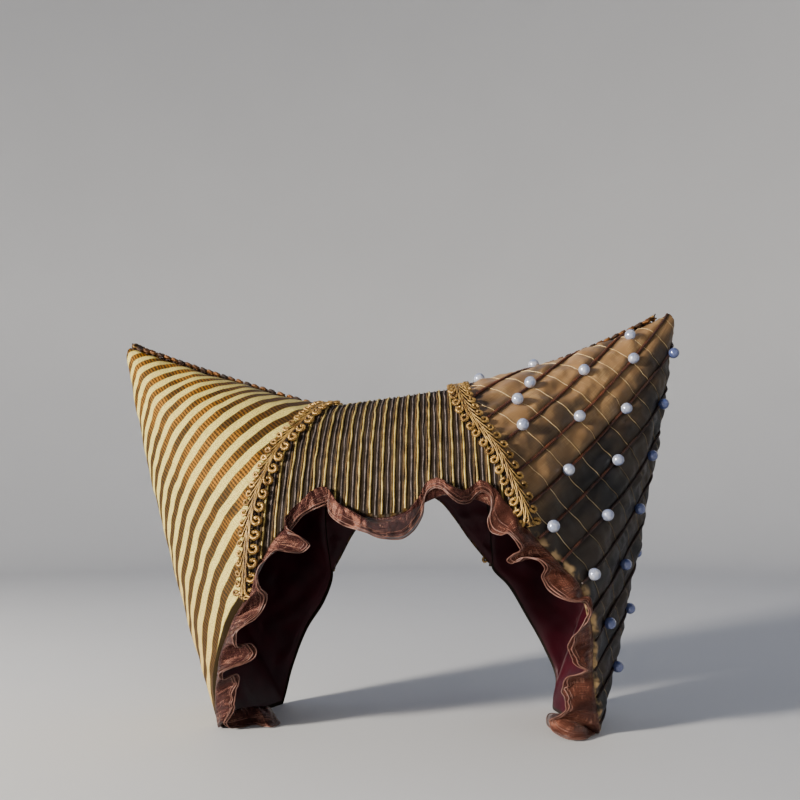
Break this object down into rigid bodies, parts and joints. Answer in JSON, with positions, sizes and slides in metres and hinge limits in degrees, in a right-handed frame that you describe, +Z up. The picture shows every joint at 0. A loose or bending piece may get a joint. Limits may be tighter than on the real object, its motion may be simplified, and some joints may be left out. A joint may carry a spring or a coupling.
{
  "type": "horned hennin hat",
  "caption": "Horned hennin: a striped cloth cone and a quilted beaded cone joined over the head by a ribbed band, with looped braid and a ruffle.",
  "frame": {"origin": "middle of the bounding box, on the plane that the two feet stand on", "axes": "+Z up, +X toward the quilted horn, -Y toward the front, where the face looks out"},
  "size_m": [0.4218, 0.1588, 0.294],
  "materials": {
    "striped_cloth": "satin stripes on a ribbed ground",
    "shot_taffeta": "quilted shot taffeta",
    "ribbed_cloth": "ribbed",
    "lining_satin": "satin",
    "gold_gimp": "looped cord",
    "sheer_ribbon": "sheer with a shiny hem",
    "pearl": "pearl"
  },
  "bodies": {
    "root": {"left_horn": "striped_cloth", "right_horn": "shot_taffeta", "crown_band": "ribbed_cloth", "lining_left": "lining_satin", "lining_right": "lining_satin", "lining_band": "lining_satin", "gimp_braid_left": "gold_gimp", "gimp_braid_right": "gold_gimp", "gimp_seam_left": "gold_gimp", "gimp_seam_right": "gold_gimp", "ruffle": "sheer_ribbon", "pearl_01": "pearl", "pearl_02": "pearl", "pearl_03": "pearl", "pearl_04": "pearl", "pearl_05": "pearl", "pearl_06": "pearl", "pearl_07": "pearl", "pearl_08": "pearl", "pearl_09": "pearl", "pearl_10": "pearl", "pearl_11": "pearl", "pearl_12": "pearl", "pearl_13": "pearl", "pearl_14": "pearl", "pearl_15": "pearl", "pearl_16": "pearl", "pearl_17": "pearl", "pearl_18": "pearl", "pearl_19": "pearl", "pearl_20": "pearl", "pearl_21": "pearl", "pearl_22": "pearl", "pearl_23": "pearl", "pearl_24": "pearl", "pearl_25": "pearl", "pearl_26": "pearl", "pearl_27": "pearl", "pearl_28": "pearl", "pearl_29": "pearl", "pearl_30": "pearl", "pearl_31": "pearl", "pearl_32": "pearl", "pearl_33": "pearl", "pearl_34": "pearl", "pearl_35": "pearl", "pearl_36": "pearl", "pearl_37": "pearl", "pearl_38": "pearl", "pearl_39": "pearl"}
  },
  "joints": []
}
